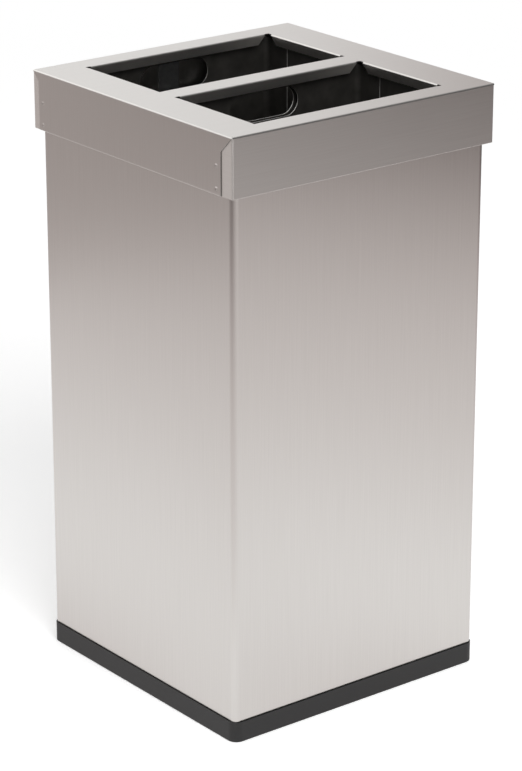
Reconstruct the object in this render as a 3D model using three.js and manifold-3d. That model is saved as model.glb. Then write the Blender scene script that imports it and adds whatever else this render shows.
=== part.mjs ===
// Double recycling bin: a square casing of brushed steel on a moulded plinth. Its lift-off lid is
// folded from one sheet with two flanged openings, and under each opening stands a sheet-metal
// bucket that is lifted out by its hand holes.
// Millimetres, +Z up. The origin is the centre of the underside, and the front faces -Y.

import * as THREE from "three";
import { mergeVertices } from "three/addons/utils/BufferGeometryUtils.js";
import Module from "manifold-3d";

// Clearances and folds shared by all the sheet metal
const seat = 0.3; // between two pieces that rest on, or are welded to, each other
const foldInside = 0.8; // inside radius of every fold
const foldJoin = 2; // how far a folded strip runs into the sheet that it is part of
const maskMargin = 1; // how far a mask reaches past what it keeps

// Buckets, outside sizes
const bucketLength = 284;
const bucketDepth = 167;
const bucketHeight = 699;
const bucketSheet = 1;
const bucketCorner = 8;
const bucketFloorRise = 12; // the floor's height above the bottom edge
const hemHeight = 8;
const lapGap = 0.2; // between the two layers of a hem or a lapped seam
const seamLap = 14;
const seamFromRear = 40.5; // from the bucket's rear wall to the seam's inner edge
const handHoleLength = 100;
const handHoleHeight = 35;
const handHoleDrop = 28.5; // from the rim to the hole's centre

// Casing: the room that it leaves round the buckets, and its own sheet
const bucketGap = 7; // between the two buckets
const endRoom = 11.5; // in front of and behind the pair
const sideRoom = 40; // at each end of the buckets
const casingSheet = 1;
const casingCorner = 8;
const rimFlange = 8;
const footFlange = 20;
const seamSlit = 0.6;
const seamStripWidth = 30;
const seamStripSheet = 1;
const floorSheet = 1.2;
const floorRise = 18;

// Bucket guides on the casing's floor
const guideSheet = 1.2;
const guideFoot = 14;
const guideRise = 30;
const guidePlay = 1.5;
const guideInset = 20; // from the buckets' outer walls to the guide's ends

// Lid
const lidSheet = 1;
const lidPlay = 5; // from the casing to the tabs inside the lid's skirt
const rimRoom = 4.9; // from the buckets' rims to the lid's underside
const skirtDrop = 70;
const openingLapX = 7; // how far the lid covers the bucket's mouth at its ends
const openingLapY = 11.5; // and along its long walls
const flangeDrop = 12;
const flangeNotch = 5; // from an opening's corner to the end of its flange
const frontTabShown = 20; // how much of the front skirt's tabs the side skirts leave open
const rearTabShown = 12;
const tabLap = 16; // how far a tab runs on behind the side skirt
const locatorSheet = 1.2;
const locatorLeg = 24;
const locatorDrop = 25;
const locatorPlay = 1.5;

// Plinth, with its feet and screws
const plinthHeight = 26;
const plinthOverhang = 2; // past the casing on each side
const plinthCorner = 12;
const plinthWall = 2.6;
const plinthLip = 7; // the lip's height round the casing's foot
const lipThickness = 1;
const plinthRound = 0.7; // round of its outer edges
const shelfThickness = 2.5;
const shelfReach = 34;
const leastCorner = 1; // of the ring's inner outlines
const ribThickness = 2;
const ribSpacing = 58;
const ribSetback = 1; // from the shelf's inner edge to a rib's end
const padRadius = 10;
const padThickness = 2.5;
const padProud = 0.5;
const padBossWall = 2;
const padBossInset = 22; // from the plinth's sides to a foot's centre
const screwRadius = 2;
const screwHeadRadius = 4;
const screwHeadHeight = 2.4;
const screwTip = 3;
const screwInset = 12; // from the casing's side to a screw's centre
const screwSpacing = 240; // between the two screws of a side
const screwBossRadius = 6;
const screwBossDepth = 3;

// Plan sizes that follow
const bucketPitch = bucketDepth + bucketGap;
const casingWidth = bucketLength + 2 * (sideRoom + casingSheet);
const casingDepth = 2 * (bucketDepth + endRoom + casingSheet) + bucketGap;
const lidWidth = casingWidth + 2 * (2 * lidSheet + lidPlay);
const lidDepth = casingDepth + 2 * (2 * lidSheet + lidPlay);
const openingWidth = bucketLength - 2 * (bucketSheet + openingLapX);
const openingDepth = bucketDepth - 2 * (bucketSheet + openingLapY);
const plinthWidth = casingWidth + 2 * plinthOverhang;
const plinthDepth = casingDepth + 2 * plinthOverhang;

// Heights that follow, from the floor up
const shelfTop = plinthHeight - plinthLip;
const casingBottom = shelfTop + seat;
const floorBottom = casingBottom + casingSheet + seat;
const bucketBottom = floorBottom + floorSheet + seat;
const lidUnderside = bucketBottom + bucketHeight + rimRoom;
const casingHeight = lidUnderside - seat - casingBottom;

// Segments that a quarter circle is divided into, in halves
const fineArc = 2;
const cornerArc = 4;
const roundArc = 8;

const finishes = {
  brushedSteel: { color: 0xc9c4be, roughness: 0.34, metalness: 1 },
  galvanised: { color: 0x4a4947, roughness: 0.45, metalness: 0.9 },
  zincPlate: { color: 0x9a9c9d, roughness: 0.5, metalness: 1 },
  blackPlastic: { color: 0x2b2b2c, roughness: 0.55, metalness: 0 },
  rubber: { color: 0x161616, roughness: 0.85, metalness: 0 },
};

const wasm = await Module();
wasm.setup();

// ---- Solids ----

function toSolid(piece) {
  if (!piece.isBufferGeometry) return piece;
  const bare = piece.clone();
  bare.deleteAttribute("normal");
  bare.deleteAttribute("uv");
  const merged = mergeVertices(bare, 1e-4);
  const mesh = new wasm.Mesh({
    numProp: 3,
    vertProperties: merged.attributes.position.array,
    triVerts: new Uint32Array(merged.index.array),
  });
  return new wasm.Manifold(mesh);
}

function joined(...pieces) {
  return pieces.map(toSolid).reduce((whole, piece) => whole.add(piece));
}

function cut(piece, ...tools) {
  return tools.reduce((left, tool) => left.subtract(toSolid(tool)), toSolid(piece));
}

function trimmed(piece, mask) {
  return toSolid(piece).intersect(toSolid(mask));
}

function namedMesh(name, finish, piece) {
  const { numProp, vertProperties, triVerts } = toSolid(piece).getMesh();
  if (numProp !== 3) throw new Error(name + " carries more than positions");
  const geometry = new THREE.BufferGeometry();
  geometry.setAttribute("position", new THREE.BufferAttribute(vertProperties, 3));
  geometry.setIndex(new THREE.BufferAttribute(triVerts, 1));
  geometry.computeVertexNormals();
  const mesh = new THREE.Mesh(geometry, new THREE.MeshStandardMaterial(finishes[finish]));
  mesh.name = name;
  return mesh;
}

// ---- Outlines ----

function polygon(...points) {
  return new THREE.Shape(points.map(([x, y]) => new THREE.Vector2(x, y)));
}

function rectangle(width, depth, x = 0, y = 0) {
  const [left, right] = [x - width / 2, x + width / 2];
  const [front, back] = [y - depth / 2, y + depth / 2];
  return polygon([left, front], [right, front], [right, back], [left, back]);
}

// The four corner arcs of a rounded rectangle, anticlockwise from the front right one.
function cornerArcs(halfX, halfY, radius) {
  const [x, y] = [halfX - radius, halfY - radius];
  const centres = [[x, -y], [x, y], [-x, y], [-x, -y]];
  return centres.map(([cx, cy], k) => [cx, cy, radius, (k - 1) * (Math.PI / 2), k * (Math.PI / 2)]);
}

function roundedRectangle(width, depth, radius) {
  const outline = new THREE.Shape();
  cornerArcs(width / 2, depth / 2, radius).forEach((arc) => outline.absarc(...arc, false));
  outline.closePath();
  return outline;
}

// A sheet folded once: the fold's outside is at the origin, one leg runs along +x and one down.
function angleOutline(across, down, sheet) {
  const radius = foldInside + sheet;
  const outline = new THREE.Shape();
  outline.moveTo(0, -down);
  outline.lineTo(0, -radius);
  outline.absarc(radius, -radius, radius, Math.PI, Math.PI / 2, true);
  outline.lineTo(across, 0);
  outline.lineTo(across, -sheet);
  outline.absarc(radius, -radius, foldInside, Math.PI / 2, Math.PI, false);
  outline.lineTo(sheet, -down);
  outline.closePath();
  return outline;
}

// A sheet folded into a channel: its web lies along x, and its two legs run along +y.
function channelOutline(width, leg, sheet) {
  const radius = foldInside + sheet;
  const half = width / 2;
  const outline = new THREE.Shape();
  outline.moveTo(-half, leg);
  outline.lineTo(-half, radius);
  outline.absarc(radius - half, radius, radius, Math.PI, 1.5 * Math.PI, false);
  outline.absarc(half - radius, radius, radius, 1.5 * Math.PI, 2 * Math.PI, false);
  outline.lineTo(half, leg);
  outline.lineTo(half - sheet, leg);
  outline.absarc(half - radius, radius, foldInside, 2 * Math.PI, 1.5 * Math.PI, true);
  outline.absarc(radius - half, radius, foldInside, 1.5 * Math.PI, Math.PI, true);
  outline.lineTo(sheet - half, leg);
  outline.closePath();
  return outline;
}

// A sheet wrapped once round a rounded rectangle, from its first edge, on the +x side, to its
// tail, which is given as the points round the other edge from the outside to the inside.
function wrapOutline(width, depth, radius, sheet, firstEdge, tail) {
  const [halfX, halfY] = [width / 2, depth / 2];
  const [frontRight, ...others] = cornerArcs(halfX, halfY, radius);
  const inner = cornerArcs(halfX - sheet, halfY - sheet, radius - sheet);
  const outline = new THREE.Shape();
  outline.moveTo(halfX, firstEdge);
  outline.lineTo(halfX, halfY - radius);
  [...others, frontRight].forEach((arc) => outline.absarc(...arc, false));
  tail.forEach(([x, y]) => outline.lineTo(x, y));
  [0, 3, 2, 1].forEach((k) => {
    const [x, y, r, start, end] = inner[k];
    outline.absarc(x, y, r, end, start, true);
  });
  outline.lineTo(halfX - sheet, firstEdge);
  outline.closePath();
  return outline;
}

function stadium(length, height) {
  const radius = height / 2;
  const reach = length / 2 - radius;
  const outline = new THREE.Shape();
  outline.absarc(reach, 0, radius, -Math.PI / 2, Math.PI / 2, false);
  outline.absarc(-reach, 0, radius, Math.PI / 2, 1.5 * Math.PI, false);
  outline.closePath();
  return outline;
}

// ---- Pieces of material ----

// An outline in plan, extruded upwards from the height z.
function upright(outline, height, z = 0, segments = cornerArc) {
  const settings = { depth: height, bevelEnabled: false, curveSegments: segments };
  return new THREE.ExtrudeGeometry(outline, settings).translate(0, 0, z);
}

// An outline seen along X, extruded to a length centred on X: its x becomes Y and its y becomes Z.
function lengthOf(outline, length, segments = fineArc) {
  const axes = [[0, 1, 0], [0, 0, 1], [1, 0, 0]].map((axis) => new THREE.Vector3(...axis));
  const turn = new THREE.Matrix4().makeBasis(...axes);
  return upright(outline, length, -length / 2, segments).applyMatrix4(turn);
}

// An outline seen from the front, extruded to a depth centred on Y: its y becomes Z.
function throughY(outline, depth, segments = cornerArc) {
  return upright(outline, depth, -depth / 2, segments).rotateX(Math.PI / 2);
}

function cylinder(radius, height, x, y, z) {
  const geometry = new THREE.CylinderGeometry(radius, radius, height, 4 * roundArc);
  return geometry.rotateX(Math.PI / 2).translate(x, y, z + height / 2);
}

// Moves a piece made for the front side to one of four sides: 0 front, 1 right, 2 rear, 3 left.
function onSide(piece, side, halfX, halfY) {
  return piece.translate(0, -(side % 2 ? halfX : halfY), 0).rotateZ(side * (Math.PI / 2));
}

// A pressed tray, open at the top.
function tray(width, depth, height, corner, sheet) {
  const outside = upright(roundedRectangle(width, depth, corner), height);
  const hollow = roundedRectangle(width - 2 * sheet, depth - 2 * sheet, corner - sheet);
  return cut(outside, upright(hollow, height, sheet));
}

// ---- Lid ----

// One sheet: the top, four skirts, and four flanges folded down into each opening. The front and
// rear skirts wrap round the corners as tabs that run on behind the side skirts.
function lidCover() {
  const fold = foldInside + lidSheet;
  const [halfX, halfY] = [lidWidth / 2, lidDepth / 2];
  const hang = skirtDrop - lidSheet; // below the lid's underside

  const top = rectangle(lidWidth - 2 * fold, lidDepth - 2 * fold);
  const flanges = [-bucketPitch / 2, bucketPitch / 2].flatMap((y) => {
    top.holes.push(rectangle(openingWidth + 2 * fold, openingDepth + 2 * fold, 0, y));
    return [0, 1, 2, 3].map((side) => {
      // The sheet lies outside the opening, so each piece is turned round before it is placed.
      const pair = openingFlange(side % 2 ? openingDepth : openingWidth, fold).map((g) =>
        onSide(g.rotateZ(Math.PI), side, openingWidth / 2, openingDepth / 2).translate(0, y, 0),
      );
      return trimmed(...pair);
    });
  });

  const frontWidth = lidWidth - 2 * lidSheet;
  const wraps = [frontTabShown, rearTabShown].map((shown, k) => {
    const channel = channelOutline(frontWidth, shown + tabLap, lidSheet);
    const height = hang - foldInside - seat;
    return onSide(upright(channel, height, -hang, fineArc), 2 * k, halfX, halfY);
  });
  const edge = angleOutline(fold + foldJoin, fold + foldJoin, lidSheet);
  const edges = [0, 2].map((side) => {
    const strip = lengthOf(edge, frontWidth - 2 * fold).translate(0, 0, lidSheet);
    return onSide(strip, side, halfX, halfY);
  });

  const sides = [1, 3].map((side) => {
    const strip = lengthOf(angleOutline(fold + foldJoin, skirtDrop, lidSheet), lidDepth);
    const [left, right] = side === 1 ? [frontTabShown, rearTabShown] : [rearTabShown, frontTabShown];
    const face = sideSkirtFace(halfY, left, right, fold);
    const mask = throughY(face, 4 * (fold + foldJoin));
    return trimmed(
      onSide(strip.translate(0, 0, lidSheet), side, halfX, halfY),
      onSide(mask, side, halfX, halfY),
    );
  });
  return joined(upright(top, lidSheet), ...flanges, ...wraps, ...edges, ...sides);
}

// The side skirt's outline. Its fold runs on to the lid's corners, where it is rounded, and from
// there the skirt's ends are cut at 45 degrees, as far in as the tabs show.
function sideSkirtFace(half, leftShown, rightShown, fold) {
  const foldEnd = lidSheet - fold;
  const outline = new THREE.Shape();
  outline.moveTo(leftShown - half, -skirtDrop);
  outline.lineTo(half - rightShown, -skirtDrop);
  outline.lineTo(half - rightShown, foldEnd - rightShown);
  outline.lineTo(half, foldEnd);
  outline.absarc(half - fold, foldEnd, fold, 0, Math.PI / 2, false);
  outline.absarc(fold - half, foldEnd, fold, Math.PI / 2, Math.PI, false);
  outline.lineTo(leftShown - half, foldEnd - leftShown);
  outline.closePath();
  return outline;
}

// A flange of one side of an opening, and the mask that cuts its ends at 45 degrees.
function openingFlange(side, fold) {
  const above = lidSheet + maskMargin;
  const foldEnd = lidSheet - fold;
  const lowest = lidSheet - flangeDrop;
  const topHalf = side / 2 - flangeNotch;
  const lowHalf = topHalf - (foldEnd - lowest);
  const strip = lengthOf(angleOutline(fold + foldJoin, flangeDrop, lidSheet), side);
  const face = polygon(
    [-lowHalf, lowest],
    [lowHalf, lowest],
    [topHalf, foldEnd],
    [topHalf, above],
    [-topHalf, above],
    [-topHalf, foldEnd],
  );
  return [strip.translate(0, 0, lidSheet), throughY(face, 4 * (fold + foldJoin))];
}

// A pressed corner that drops just inside the casing's rim and keeps the lid in place.
function lidLocator() {
  const legs = angleOutline(locatorLeg, locatorLeg, locatorSheet);
  const near = locatorLeg / 4;
  const fold = foldInside + locatorSheet;
  const gusset = polygon(
    [fold, 0],
    [locatorLeg, 0],
    [locatorLeg, -near],
    [near, -locatorLeg],
    [0, -locatorLeg],
    [0, -fold],
  );
  return joined(
    upright(legs, locatorDrop, -locatorDrop, fineArc),
    upright(gusset, locatorSheet, -locatorSheet),
  );
}

// ---- Buckets ----

// The bucket's wall: one sheet with a lapped seam on its right end, a hem turned over outwards
// along the rim, and a hand hole through each long wall.
function bucketWall() {
  const right = bucketLength / 2;
  const firstEdge = bucketDepth / 2 - seamFromRear;
  const step = bucketSheet + lapGap;
  const tail = [
    [right, firstEdge - lapGap - bucketSheet * Math.SQRT2],
    [right + step, firstEdge - bucketSheet * (Math.SQRT2 - 1)],
    [right + step, firstEdge + seamLap],
    [right + lapGap, firstEdge + seamLap],
    [right + lapGap, firstEdge],
    [right - bucketSheet, firstEdge - step],
  ];
  const wrap = wrapOutline(bucketLength, bucketDepth, bucketCorner, bucketSheet, firstEdge, tail);
  const lapTop = bucketHeight - hemHeight - bucketSheet;
  const lapCut = rectangle(2 * (step + lapGap), 4 * seamLap, right + step + lapGap, firstEdge);
  const wall = cut(upright(wrap, bucketHeight - bucketSheet), upright(lapCut, 2 * hemHeight, lapTop));

  const hem = ring(step, lapGap);
  const fold = ring(step, -bucketSheet);
  const holes = throughY(stadium(handHoleLength, handHoleHeight), 2 * bucketDepth);
  return cut(
    joined(
      wall,
      upright(hem, hemHeight, bucketHeight - hemHeight),
      upright(fold, bucketSheet, bucketHeight - bucketSheet),
    ),
    holes.translate(0, 0, bucketHeight - handHoleDrop),
  );
}

// A ring round the bucket, from one distance outside its wall to another.
function ring(outside, inside) {
  const grown = (by) => [bucketLength + 2 * by, bucketDepth + 2 * by, bucketCorner + by];
  const outline = roundedRectangle(...grown(outside));
  outline.holes.push(roundedRectangle(...grown(inside)));
  return outline;
}

// The bucket's floor: a pressed tray set in upside down, its flange welded to the wall.
function bucketFloor() {
  const inset = bucketSheet + seat;
  return tray(
    bucketLength - 2 * inset,
    bucketDepth - 2 * inset,
    bucketFloorRise,
    bucketCorner - inset,
    bucketSheet,
  );
}

function bucket(name) {
  const group = new THREE.Group();
  const floor = namedMesh(name + "_bucket_floor", "galvanised", bucketFloor());
  floor.rotation.x = Math.PI;
  floor.position.z = bucketFloorRise;
  group.add(namedMesh(name + "_bucket_wall", "galvanised", bucketWall()), floor);
  return group;
}

// ---- Casing ----

// The casing's sheet: wrapped round with rounded corners to a closed slit in the middle of the
// rear, with flanges folded inwards along its top and bottom edges and mitred at the corners.
function casingShell() {
  const fold = foldInside + casingSheet;
  const edge = casingDepth / 2;
  const tail = [
    [edge, -seamSlit / 2],
    [edge - casingSheet, -seamSlit / 2],
  ];
  const wrap = wrapOutline(casingDepth, casingWidth, casingCorner, casingSheet, seamSlit / 2, tail);
  const wall = upright(wrap, casingHeight - 2 * fold, fold).rotateZ(Math.PI / 2);
  const flanges = [0, 1, 2, 3].flatMap((side) => {
    const length = (side % 2 ? casingDepth : casingWidth) - 2 * casingCorner;
    const rim = mitredFlange(length, rimFlange, casingSheet).map((g) => g.translate(0, 0, casingHeight));
    const foot = mitredFlange(length, footFlange, casingSheet).map((g) => g.rotateY(Math.PI));
    return [rim, foot].map((pair) =>
      trimmed(...pair.map((g) => onSide(g, side, casingWidth / 2, casingDepth / 2))),
    );
  });
  return cut(joined(wall, ...flanges), ...screwHoles(-casingBottom));
}

// A flange that turns inwards at the top of a wall, and the mask that mitres its ends.
function mitredFlange(length, reach, sheet) {
  const fold = foldInside + sheet;
  const half = length / 2;
  const plan = polygon(
    [-half, -maskMargin],
    [half, -maskMargin],
    [half, fold],
    [half - (reach - fold), reach],
    [-half + (reach - fold), reach],
    [-half, fold],
  );
  const tall = 2 * (fold + foldJoin);
  return [
    lengthOf(angleOutline(reach, fold + foldJoin, sheet), length),
    upright(plan, 2 * tall, -tall),
  ];
}

function screwPlaces() {
  const x = casingWidth / 2 - screwInset;
  const y = screwSpacing / 2;
  return [[x, -y], [x, y], [-x, y], [-x, -y]];
}

// Clearance holes for the base screws, in a piece whose own height zero is at -z.
function screwHoles(z) {
  const reach = bucketBottom - padProud;
  return screwPlaces().map(([x, y]) => cylinder(screwRadius + seat, reach, x, y, z + padProud));
}

function casingFloor() {
  const inset = casingSheet + foldInside;
  const pan = tray(
    casingWidth - 2 * inset,
    casingDepth - 2 * inset,
    floorRise,
    casingCorner - inset,
    floorSheet,
  );
  return cut(pan, ...screwHoles(-floorBottom));
}

function seamStrip() {
  const fold = foldInside + casingSheet;
  const low = floorBottom + floorRise + foldJoin;
  const high = casingBottom + casingHeight - fold - foldJoin;
  const y = casingDepth / 2 - casingSheet - seat - seamStripSheet / 2;
  return upright(rectangle(seamStripWidth, seamStripSheet, 0, y), high - low, low);
}

// An angle on the floor beside the buckets' ends, which keeps them under the lid's openings.
function bucketGuide(direction) {
  const length = 2 * (bucketDepth - guideInset) + bucketGap;
  const strip = lengthOf(angleOutline(guideFoot, guideRise, guideSheet), length);
  return strip.rotateY(Math.PI).rotateZ(-direction * (Math.PI / 2));
}

// ---- Plinth ----

// A moulded ring: a wall with a lip round the casing's foot, a shelf that carries the casing,
// ribs between the two, and bosses for the feet and the screws.
function plinth() {
  const body = plinthHeight - padProud;
  const block = new THREE.ExtrudeGeometry(roundedRectangle(plinthWidth, plinthDepth, plinthCorner), {
    depth: body - 2 * plinthRound,
    bevelThickness: plinthRound,
    bevelSize: plinthRound,
    bevelOffset: -plinthRound,
    bevelSegments: fineArc,
    curveSegments: cornerArc,
  }).translate(0, 0, padProud + plinthRound);
  const underside = shelfTop - shelfThickness;
  const hollow = inset(plinthWall);
  const middle = inset(shelfReach);
  const shell = cut(
    block,
    upright(inset(lipThickness), 2 * plinthLip, shelfTop),
    upright(hollow, underside),
    upright(middle, 2 * plinthHeight),
  );
  const pads = footPlaces();
  const padRooms = pads.map(([x, y]) =>
    cylinder(padRadius + seat, 2 * (padThickness + seat), x, y, -padThickness - seat),
  );
  const bossRadius = padRadius + seat + padBossWall;
  const overlap = shelfThickness / 2;
  const screwBossBottom = underside - screwBossDepth;
  return cut(
    joined(
      shell,
      ...ribs(underside + overlap),
      ...pads.map(([x, y]) => cylinder(bossRadius, underside + overlap - padProud, x, y, padProud)),
      ...screwPlaces().map(([x, y]) =>
        cylinder(screwBossRadius, screwBossDepth + overlap, x, y, screwBossBottom),
      ),
    ),
    ...padRooms,
    ...screwHoles(0),
  );
}

// The plinth's outline, moved inwards.
function inset(by) {
  const corner = Math.max(plinthCorner - by, leastCorner);
  return roundedRectangle(plinthWidth - 2 * by, plinthDepth - 2 * by, corner);
}

// Upright ribs across the shelf's underside, evenly spaced between the corner bosses.
function ribs(top) {
  const bottom = padProud + plinthRound;
  const length = shelfReach - plinthWall / 2 - ribSetback;
  return [0, 1, 2, 3].flatMap((side) => {
    const run = (side % 2 ? plinthDepth : plinthWidth) - 2 * (padBossInset + padRadius + padBossWall);
    const count = Math.max(1, Math.floor(run / ribSpacing));
    const pitch = run / (count + 1);
    return Array.from({ length: count }, (_, k) => {
      const along = (k + 1) * pitch - run / 2;
      const middle = plinthWall / 2 + length / 2;
      const rib = upright(rectangle(ribThickness, length, along, middle), top - bottom, bottom);
      return onSide(rib, side, plinthWidth / 2, plinthDepth / 2);
    });
  });
}

function footPlaces() {
  const [x, y] = [plinthWidth / 2 - padBossInset, plinthDepth / 2 - padBossInset];
  return [[-x, -y], [x, -y], [x, y], [-x, y]];
}

// A pan-headed screw, driven upwards: the origin is the underside of its head.
function baseScrew() {
  const seatHeight = shelfTop - shelfThickness - screwBossDepth;
  const shank = floorBottom + floorSheet + screwTip - seatHeight;
  const outline = new THREE.Path();
  outline.moveTo(0, -screwHeadHeight - seat);
  outline.lineTo(screwHeadRadius / 2, -screwHeadHeight - seat);
  outline.absarc(
    screwHeadRadius / 2,
    -screwHeadHeight / 2 - seat,
    screwHeadHeight / 2,
    -Math.PI / 2,
    0,
    false,
  );
  outline.lineTo(screwHeadRadius, -seat);
  outline.lineTo(screwRadius, -seat);
  outline.lineTo(screwRadius, shank - screwTip / 2);
  outline.lineTo(0, shank);
  outline.closePath();
  return new THREE.LatheGeometry(outline.getPoints(fineArc), 2 * roundArc).rotateX(Math.PI / 2);
}

// ---- The bin ----

const bin = new THREE.Group();

const plinthGroup = new THREE.Group();
plinthGroup.add(namedMesh("base_plinth", "blackPlastic", plinth()));
const cornerNames = ["front_left", "front_right", "rear_right", "rear_left"];
footPlaces().forEach(([x, y], k) => {
  const pad = namedMesh("foot_pad_" + cornerNames[k], "rubber", cylinder(padRadius, padThickness, 0, 0, 0));
  pad.position.set(x, y, 0);
  plinthGroup.add(pad);
});
screwPlaces().forEach(([x, y], k) => {
  const screw = namedMesh("base_screw_" + (k + 1), "zincPlate", baseScrew());
  screw.position.set(x, y, shelfTop - shelfThickness - screwBossDepth);
  plinthGroup.add(screw);
});
bin.add(plinthGroup);

const casingGroup = new THREE.Group();
const shell = namedMesh("casing_shell", "brushedSteel", casingShell());
shell.position.z = casingBottom;
const floor = namedMesh("casing_floor", "zincPlate", casingFloor());
floor.position.z = floorBottom;
casingGroup.add(shell, floor, namedMesh("casing_seam_strip", "zincPlate", seamStrip()));
for (const [name, direction] of [["left", -1], ["right", 1]]) {
  const guide = namedMesh("bucket_guide_" + name, "zincPlate", bucketGuide(direction));
  guide.position.set(direction * (bucketLength / 2 + lapGap + bucketSheet + guidePlay), 0, bucketBottom);
  casingGroup.add(guide);
}
bin.add(casingGroup);

for (const [name, direction] of [["front", -1], ["rear", 1]]) {
  const group = bucket(name);
  group.position.set(0, direction * (bucketPitch / 2), bucketBottom);
  bin.add(group);
}

const lidGroup = new THREE.Group();
lidGroup.position.z = lidUnderside;
lidGroup.add(namedMesh("lid_cover", "brushedSteel", lidCover()));
const locatorX = casingWidth / 2 - rimFlange - locatorPlay;
const locatorY = casingDepth / 2 - rimFlange - locatorPlay;
[[-1, -1], [1, -1], [1, 1], [-1, 1]].forEach(([right, back], k) => {
  const locator = namedMesh("lid_locator_" + cornerNames[k], "zincPlate", lidLocator());
  locator.rotation.z = (k + 1) * (Math.PI / 2);
  locator.position.set(right * locatorX, back * locatorY, -seat);
  lidGroup.add(locator);
});
bin.add(lidGroup);

export default bin;
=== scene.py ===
"""Double recycling bin: a square casing of brushed steel on a black plinth, with a folded
lift-off lid over two sheet-metal buckets. Metres, +Z up, the front faces -Y."""

import math

import bmesh
import bpy
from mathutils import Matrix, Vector


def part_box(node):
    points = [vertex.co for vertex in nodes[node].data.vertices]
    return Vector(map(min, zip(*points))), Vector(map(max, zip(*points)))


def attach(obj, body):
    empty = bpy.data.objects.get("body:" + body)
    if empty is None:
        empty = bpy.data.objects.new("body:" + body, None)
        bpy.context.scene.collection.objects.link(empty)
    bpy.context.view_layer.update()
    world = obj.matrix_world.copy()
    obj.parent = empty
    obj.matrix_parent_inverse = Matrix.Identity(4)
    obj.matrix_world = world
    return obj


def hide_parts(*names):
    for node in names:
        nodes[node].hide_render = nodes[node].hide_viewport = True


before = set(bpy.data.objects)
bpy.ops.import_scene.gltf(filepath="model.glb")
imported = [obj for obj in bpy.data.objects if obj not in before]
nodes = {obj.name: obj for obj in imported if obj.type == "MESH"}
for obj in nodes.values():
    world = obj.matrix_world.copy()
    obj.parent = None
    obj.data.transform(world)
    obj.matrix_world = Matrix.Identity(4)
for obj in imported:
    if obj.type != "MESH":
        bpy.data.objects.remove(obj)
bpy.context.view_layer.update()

# ---- Camera ----
# A long lens to the left of the front corner, which looks down on the lid so that the openings
# and the insides of the buckets show.

CAMERA_PLACE = (-2.108, -2.6865, 1.5997)
CAMERA_TURN = math.radians(-38.105)
CAMERA_DIP = math.radians(20.146)
LENS_MM, SENSOR_MM = 141.96, 36

camera_tilt = (math.pi / 2 - CAMERA_DIP, 0, CAMERA_TURN)
bpy.ops.object.camera_add(location=CAMERA_PLACE, rotation=camera_tilt)
camera = bpy.context.object
camera.data.lens = LENS_MM
camera.data.sensor_width = SENSOR_MM
bpy.context.scene.camera = camera
bpy.context.scene.view_settings.view_transform = "Standard"

# ---- Studio ----
# A white room as a photographer lights steel. The paper looks white, with a painted shade near the
# bin, and the steel mirrors it bright near the bin and dark far from it. A soft lamp stands in
# front, a graded card behind the bin and a pale one before its front left corner.

WHITE = 1.0
FLOOR_SIZE = 30.0
PAPER = (0.9, 0.9, 0.9, 1)
# The paper's lift is weaker near the bin, a painted shade round its foot on top of its own shadow.
PAPER_LIFT, PAINTED_SHADE_FADE = 0.5, (0.25, 1.0, 0.82)
FAR_FADE = (1.1, 2.4, 0.0)

# What the steel mirrors of the paper: its glow by the distance from a centre, and a dim patch.
GLOW_CENTRE, GLOW_STRETCH = (0, 0.2, 0), (1, 0.55, 1)
FLOOR_GLOWS = (
    (0.0, 0.6), (0.15, 0.75), (0.35, 0.97), (0.6, 0.93), (0.9, 0.79), (1.25, 0.72),
    (1.5, 0.64), (1.8, 0.49), (2.1, 0.3), (2.4, 0.1), (3.2, 0.05),
)
GLOOM_PLACE, GLOOM_FADE = (2.15, -2.4, 0), (0.1, 0.8, 0.1)
LESS_GREEN, LESS_BLUE = 0.22, 0.26

# What it mirrors of the room: brightest high up behind the bin's left side.
BRIGHT_WAY = Vector((-0.55, 0.45, 0.7)).normalized()
ROOM_LEAN, ROOM_GLOW = (-0.3, 0.9), (0.12, 0.95)
MATT_ROOM_GLOW = 0.6

LAMP_PLACE, LAMP_TARGET = (-0.8, -2.2, 2.4), (0, 0, 0.2)
LAMP_SIZE, LAMP_GLOW = 1.8, 6.0

# The card behind: its glow by the distance from its left end, and a darker, warmer foot.
CARD_LOW, CARD_HIGH = (-2.4, 1.45, 0.01), (2.4, 1.45, 2.4)
CARD_FADE, CARD_FOOT = (0.65, 1.2, 0.0), (0.36, 0.323, 0.313, 1)
CARD_GLOWS = (
    (0.0, 0.9), (0.8, 1.05), (1.4, 1.4), (2.1, 1.35), (2.6, 1.22), (3.0, 1.13),
    (3.6, 1.05), (3.9, 0.86), (4.2, 0.57), (4.8, 0.4),
)
SIDE_PLACE, SIDE_SIZE, SIDE_GLOW = (-0.75, -1.15, 1.1), (0.9, 1.2), 1.1

# Where a colour Mix node keeps its two colours and its result.
FIRST_COLOUR, SECOND_COLOUR, MIXED_COLOUR = 6, 7, 2


def add_node(tree, kind, links=(), **values):
    """Adds a shader node, sets its properties and sockets, and links outputs to its sockets."""
    node = tree.nodes.new(kind)
    for name, value in values.items():
        if hasattr(node, name):
            setattr(node, name, value)
        else:
            node.inputs[name.replace("_", " ")].default_value = value
    for socket, output in dict(links).items():
        tree.links.new(output, node.inputs[socket])
    return node


def empty_tree(data):
    data.use_nodes = True
    data.node_tree.nodes.clear()
    return data.node_tree


def new_finish(name):
    """A material without nodes, and its node tree."""
    material = bpy.data.materials.new(name)
    return material, empty_tree(material)


def reckon(tree, operation, value, amount):
    """One step of arithmetic with a fixed second number."""
    step = add_node(tree, "ShaderNodeMath", {0: value}, operation=operation)
    step.inputs[1].default_value = amount
    return step.outputs[0]


def measure(tree, operation, vector, other=(0, 0, 0)):
    """One step of vector arithmetic with a fixed second vector."""
    step = add_node(tree, "ShaderNodeVectorMath", {0: vector}, operation=operation)
    step.inputs[1].default_value = other
    return step.outputs


def mixed(tree, share, first, second):
    """Goes from one shader to another as a share goes from 0 to 1."""
    return add_node(tree, "ShaderNodeMixShader", {0: share, 1: first, 2: second}).outputs[0]


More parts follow.
